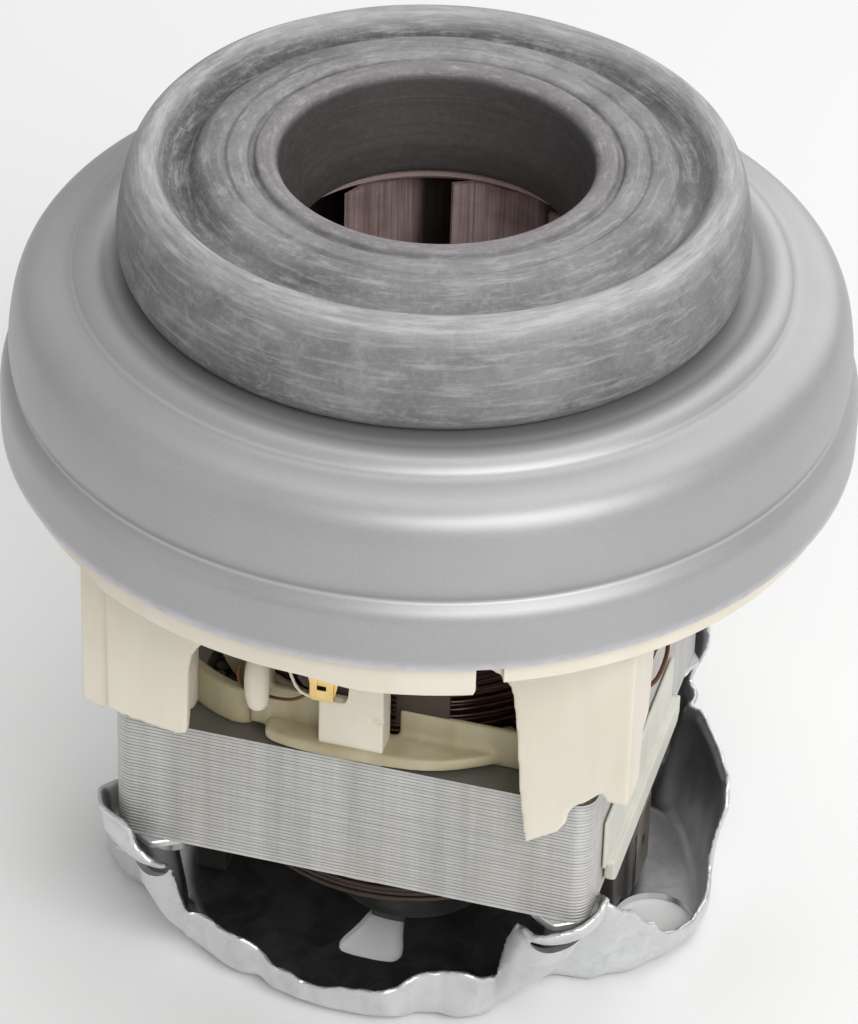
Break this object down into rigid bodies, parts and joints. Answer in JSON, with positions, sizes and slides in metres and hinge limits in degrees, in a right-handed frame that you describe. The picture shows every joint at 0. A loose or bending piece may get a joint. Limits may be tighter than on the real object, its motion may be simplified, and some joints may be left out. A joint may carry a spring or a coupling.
{
  "type": "vacuum motor unit",
  "caption": "Through-flow suction motor with a rubber inlet seal, stepped round fan cover, ivory plastic housing on legs, square laminated stator and a pressed rear bracket.",
  "frame": {"origin": "on the shaft axis, at the underside of the rear bracket, which the unit stands on", "axes": "+Z along the shaft from the rear bracket to the inlet, X along the two carbon brushes, -Y to the side with the visible terminal block"},
  "size_m": [0.131, 0.131, 0.139],
  "materials": {
    "seal_rubber": "matte, chalky",
    "cover_sheet": "satin",
    "diffuser_plastic": "matte",
    "ivory_plastic": "semi gloss",
    "bracket_sheet": "bright, smooth",
    "lamination_steel": "fine lined",
    "enamelled_wire": "varnished copper wire",
    "brass": "satin",
    "lead_sleeve": "varnished",
    "screw_steel": "zinc plated",
    "bearing_steel": "ground",
    "shaft_steel": "ground",
    "insulation_board": "matte",
    "commutator_copper": "copper, turned",
    "hub_resin": "matte",
    "fan_metal": "satin, aged",
    "carbon": "matte",
    "spring_steel": "plain"
  },
  "bodies": {
    "frame": {"seal_ring": "seal_rubber", "fan_cover": "cover_sheet", "diffuser": "diffuser_plastic", "motor_housing": "ivory_plastic", "rear_bracket": "bracket_sheet", "stator_core": "lamination_steel", "stator_coils": "enamelled_wire", "upper_coil_insulator": "ivory_plastic", "lower_coil_insulator": "ivory_plastic", "terminal_blocks": "ivory_plastic", "brass_terminals": "brass", "winding_leads": "lead_sleeve", "bracket_screws": "screw_steel", "upper_bearing_outer_race": "bearing_steel", "lower_bearing_outer_race": "bearing_steel", "brush_holder_right": "ivory_plastic", "brush_tube_right": "brass", "brush_spring_right": "spring_steel", "brush_lead_right": "commutator_copper", "brush_end_cap_right": "brass", "brush_holder_left": "ivory_plastic", "brush_tube_left": "brass", "brush_spring_left": "spring_steel", "brush_lead_left": "commutator_copper", "brush_end_cap_left": "brass"},
    "rotor": {"shaft": "shaft_steel", "armature_core": "lamination_steel", "armature_winding": "enamelled_wire", "armature_end_insulators": "insulation_board", "commutator_bars": "commutator_copper", "commutator_hub": "hub_resin", "upper_bearing_inner_race": "bearing_steel", "lower_bearing_inner_race": "bearing_steel", "fan_spacer": "screw_steel", "fan_clamp_washer_lower": "screw_steel", "impeller_back_plate": "fan_metal", "impeller_vanes": "fan_metal", "impeller_front_plate": "fan_metal", "fan_clamp_washer_upper": "screw_steel", "fan_nut": "screw_steel"},
    "upper_cage": {"upper_bearing_balls": "bearing_steel", "upper_bearing_cage": "brass"},
    "lower_cage": {"lower_bearing_balls": "bearing_steel", "lower_bearing_cage": "brass"},
    "brush_right": {"carbon_brush_right": "carbon"},
    "brush_left": {"carbon_brush_left": "carbon"}
  },
  "joints": [
    {"name": "rotor_spin", "type": "hinge", "parent": "frame", "child": "rotor", "pos_m": [0, 0, 0.06], "axis": [0, 0, 1], "continuous": true},
    {"name": "upper_cage_spin", "type": "hinge", "parent": "frame", "child": "upper_cage", "pos_m": [0, 0, 0.082], "axis": [0, 0, 1], "continuous": true},
    {"name": "lower_cage_spin", "type": "hinge", "parent": "frame", "child": "lower_cage", "pos_m": [0, 0, 0.0051], "axis": [0, 0, 1], "continuous": true},
    {"name": "brush_right_slide", "type": "slide", "parent": "frame", "child": "brush_right", "axis": [1, 0, 0], "range_m": [0, 0.0035], "stiffness_N_per_m": 200, "deforming": ["brush_spring_right", "brush_lead_right"]},
    {"name": "brush_left_slide", "type": "slide", "parent": "frame", "child": "brush_left", "axis": [-1, 0, 0], "range_m": [0, 0.0035], "stiffness_N_per_m": 200, "deforming": ["brush_spring_left", "brush_lead_left"]}
  ],
  "couplings": [
    {"joint": "upper_cage_spin", "follows": "rotor_spin", "ratio": 0.38},
    {"joint": "lower_cage_spin", "follows": "rotor_spin", "ratio": 0.38}
  ]
}
